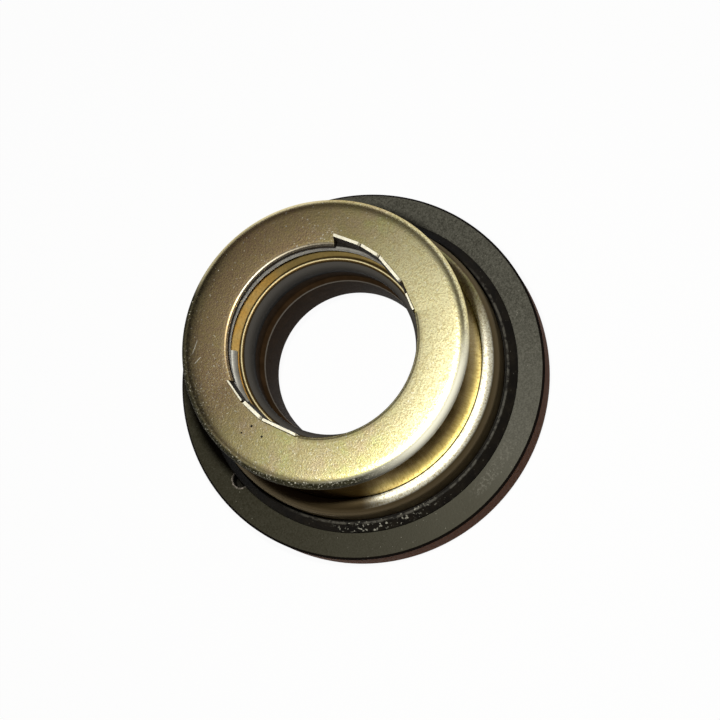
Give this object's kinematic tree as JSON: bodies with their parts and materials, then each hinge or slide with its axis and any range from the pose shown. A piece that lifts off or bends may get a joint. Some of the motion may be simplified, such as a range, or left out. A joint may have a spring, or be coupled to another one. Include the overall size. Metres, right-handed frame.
{
  "type": "mechanical seal",
  "caption": "Rotary head of a rubber-bellows mechanical shaft seal: a plated spring cup slides in a rolled shell above a grey sealing ring, with a bore for the shaft.",
  "frame": {"origin": "centre of the lapped sealing face, on the shaft axis, at the lowest level", "axes": "+Z along the shaft axis, from the lapped face towards the spring cup; the drive notch lies towards -X"},
  "size_m": [0.05, 0.05, 0.0271],
  "materials": {
    "yellow_zinc": "drawn sheet steel, yellow-passivated zinc plate, satin with draw marks",
    "spring_steel": "drawn wire, dull grey, cut ends",
    "black_rubber": "moulded, soft sheen, faint bloom",
    "seal_ring_grey": "fine-grained dark grey, ground flat, brownish turned rim"
  },
  "bodies": {
    "seal_head": {"seal_ring": "seal_ring_grey", "bellows": "black_rubber", "shell": "yellow_zinc", "spring_seat": "yellow_zinc", "spring": "spring_steel"},
    "cup": {"spring_cup": "yellow_zinc"}
  },
  "joints": [
    {"name": "cup_slide", "type": "slide", "parent": "seal_head", "child": "cup", "axis": [0, 0, -1], "range_m": [0, 0.001], "stiffness_N_per_m": 1900, "springref_m": -0.001, "deforming": ["spring"]}
  ]
}
